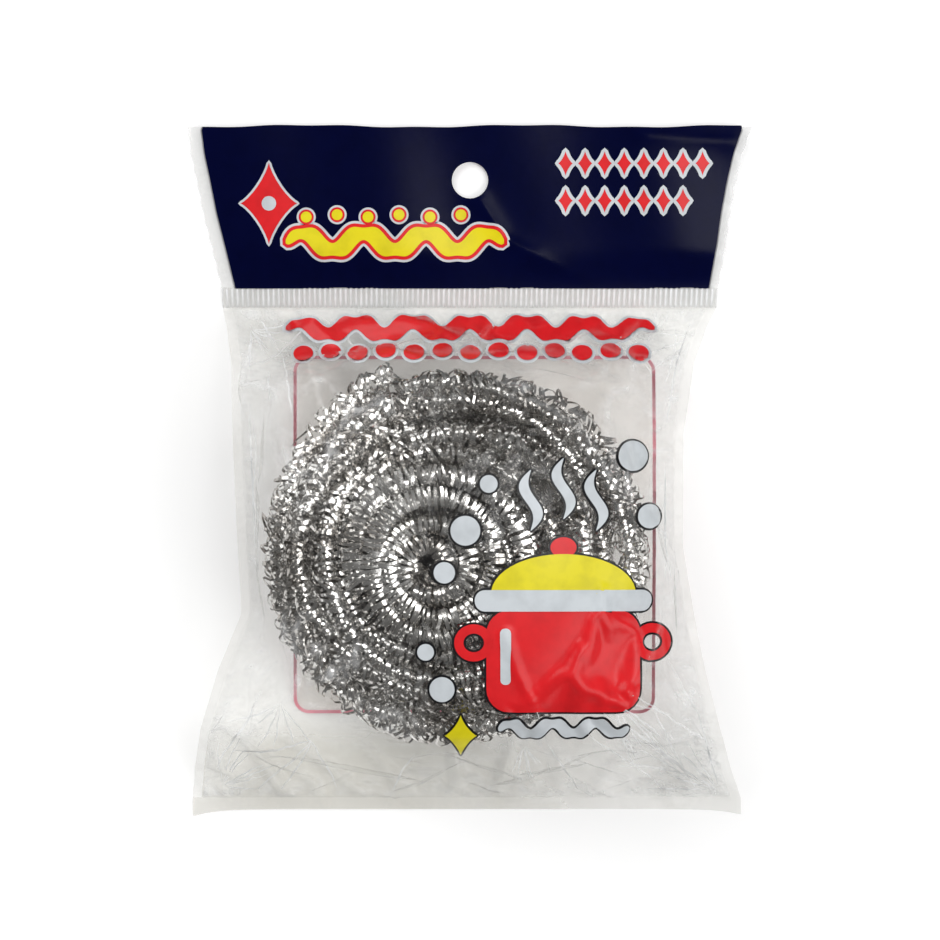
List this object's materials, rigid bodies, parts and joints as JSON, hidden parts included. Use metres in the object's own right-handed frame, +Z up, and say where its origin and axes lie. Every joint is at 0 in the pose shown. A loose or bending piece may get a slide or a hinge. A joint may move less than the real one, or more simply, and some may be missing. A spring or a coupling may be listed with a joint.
{
  "type": "pot scrubber",
  "caption": "Round wound steel ribbon pot scourer lying in a clear film bag with a ribbed seal and a folding printed header with a hang hole.",
  "frame": {"origin": "on the surface the bag lies on, under the middle of its width and length", "axes": "+Y from the scourer to the header, +X to the right seen from the front, +Z up out of the front of the bag"},
  "size_m": [0.1242, 0.152, 0.0412],
  "materials": {
    "clear_film": "gloss",
    "film_weld": "satin",
    "ribbed_seal": "gloss",
    "printed_film": "gloss",
    "steel_ribbon": "polished"
  },
  "bodies": {
    "pocket": {"front_panel": "clear_film", "back_panel": "clear_film", "left_side_weld": "film_weld", "right_side_weld": "film_weld", "bottom_weld": "film_weld"},
    "header": {"crimp_seal": "ribbed_seal", "header_front_ply": "printed_film", "header_back_ply": "printed_film", "header_left_weld": "film_weld", "header_right_weld": "film_weld"},
    "scourer": {"bottom_winding": "steel_ribbon", "lower_winding": "steel_ribbon", "upper_winding": "steel_ribbon", "top_winding": "steel_ribbon"}
  },
  "joints": [
    {"name": "header_fold", "type": "hinge", "parent": "pocket", "child": "header", "pos_m": [0, 0.0357, 0.00075], "axis": [1, 0, 0], "range_deg": [0, 100]},
    {"name": "scourer_turn", "type": "hinge", "parent": "pocket", "child": "scourer", "pos_m": [-0.0026, -0.018, 0.0206], "axis": [0, 0, 1], "continuous": true}
  ]
}
